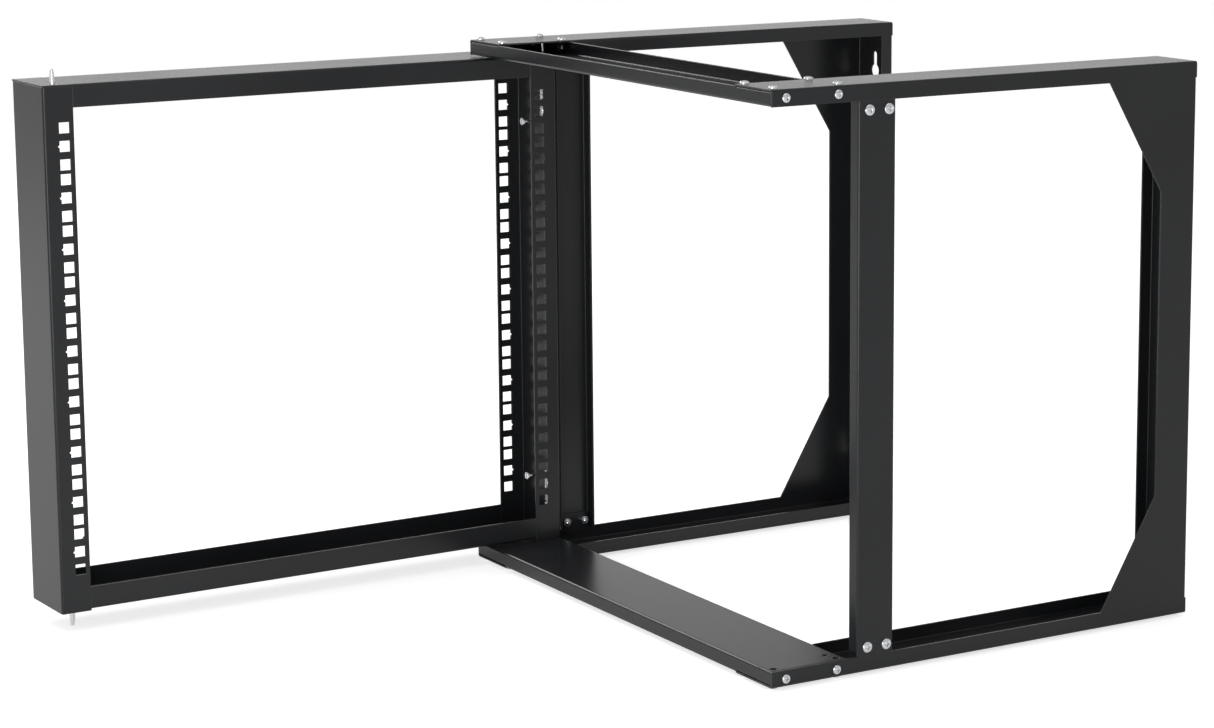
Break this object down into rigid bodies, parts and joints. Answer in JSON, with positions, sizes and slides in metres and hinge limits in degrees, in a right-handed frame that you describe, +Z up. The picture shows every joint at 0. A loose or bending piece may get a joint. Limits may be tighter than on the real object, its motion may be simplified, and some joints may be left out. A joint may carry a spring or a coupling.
{
  "type": "wall mount open frame rack",
  "caption": "Open steel wall frame with a swing-out gate of square-hole equipment rails, held by spring pins that pull back by hand.",
  "frame": {"origin": "centre of the four wall keyholes' entry holes, on the wall plane", "axes": "+X to the right seen from the front, +Y into the wall, +Z up; the gate rests swung open by 88.5 degrees"},
  "size_m": [0.5676, 0.8637, 0.4976],
  "materials": {
    "powder_coat": "fine black powder coat",
    "zinc_plate": "bright zinc plate",
    "spring_steel": "bright spring wire"
  },
  "bodies": {
    "wall_frame": {"side_frame_left": "powder_coat", "side_frame_right": "powder_coat", "upright_left": "powder_coat", "upright_right": "powder_coat", "top_crossmember": "powder_coat", "bottom_crossmember": "powder_coat", "top_corner_bolts": "zinc_plate", "bottom_corner_bolts": "zinc_plate", "web_bolts": "zinc_plate", "upright_bolts": "zinc_plate", "upright_nuts": "zinc_plate"},
    "swing_gate": {"gate_hinge_post": "powder_coat", "gate_latch_post": "powder_coat", "gate_top_rail": "powder_coat", "gate_bottom_rail": "powder_coat", "pin_guides": "powder_coat", "hinge_spring_top": "spring_steel", "hinge_spring_bottom": "spring_steel", "latch_spring_top": "spring_steel", "latch_spring_bottom": "spring_steel"},
    "hinge_plunger_top": {"hinge_pin_top": "zinc_plate", "hinge_clip_top": "spring_steel", "hinge_pull_screw_top": "zinc_plate"},
    "hinge_plunger_bottom": {"hinge_pin_bottom": "zinc_plate", "hinge_clip_bottom": "spring_steel", "hinge_pull_screw_bottom": "zinc_plate"},
    "latch_plunger_top": {"latch_pin_top": "zinc_plate", "latch_clip_top": "spring_steel", "latch_pull_screw_top": "zinc_plate"},
    "latch_plunger_bottom": {"latch_pin_bottom": "zinc_plate", "latch_clip_bottom": "spring_steel", "latch_pull_screw_bottom": "zinc_plate"}
  },
  "joints": [
    {"name": "gate_swing", "type": "hinge", "parent": "wall_frame", "child": "swing_gate", "pos_m": [-0.24, -0.3712, 0], "axis": [0, 0, 1], "range_deg": [-16.5, 88.5]},
    {"name": "hinge_plunger_top_pull", "type": "slide", "parent": "swing_gate", "child": "hinge_plunger_top", "axis": [0, 0, -1], "range_m": [0, 0.015], "stiffness_N_per_m": 300, "springref_m": -0.008, "deforming": ["hinge_spring_top"]},
    {"name": "hinge_plunger_bottom_pull", "type": "slide", "parent": "swing_gate", "child": "hinge_plunger_bottom", "axis": [0, 0, 1], "range_m": [0, 0.015], "stiffness_N_per_m": 300, "springref_m": -0.008, "deforming": ["hinge_spring_bottom"]},
    {"name": "latch_plunger_top_pull", "type": "slide", "parent": "swing_gate", "child": "latch_plunger_top", "axis": [0, 0, -1], "range_m": [0, 0.015], "stiffness_N_per_m": 300, "springref_m": -0.008, "deforming": ["latch_spring_top"]},
    {"name": "latch_plunger_bottom_pull", "type": "slide", "parent": "swing_gate", "child": "latch_plunger_bottom", "axis": [0, 0, 1], "range_m": [0, 0.015], "stiffness_N_per_m": 300, "springref_m": -0.008, "deforming": ["latch_spring_bottom"]}
  ]
}
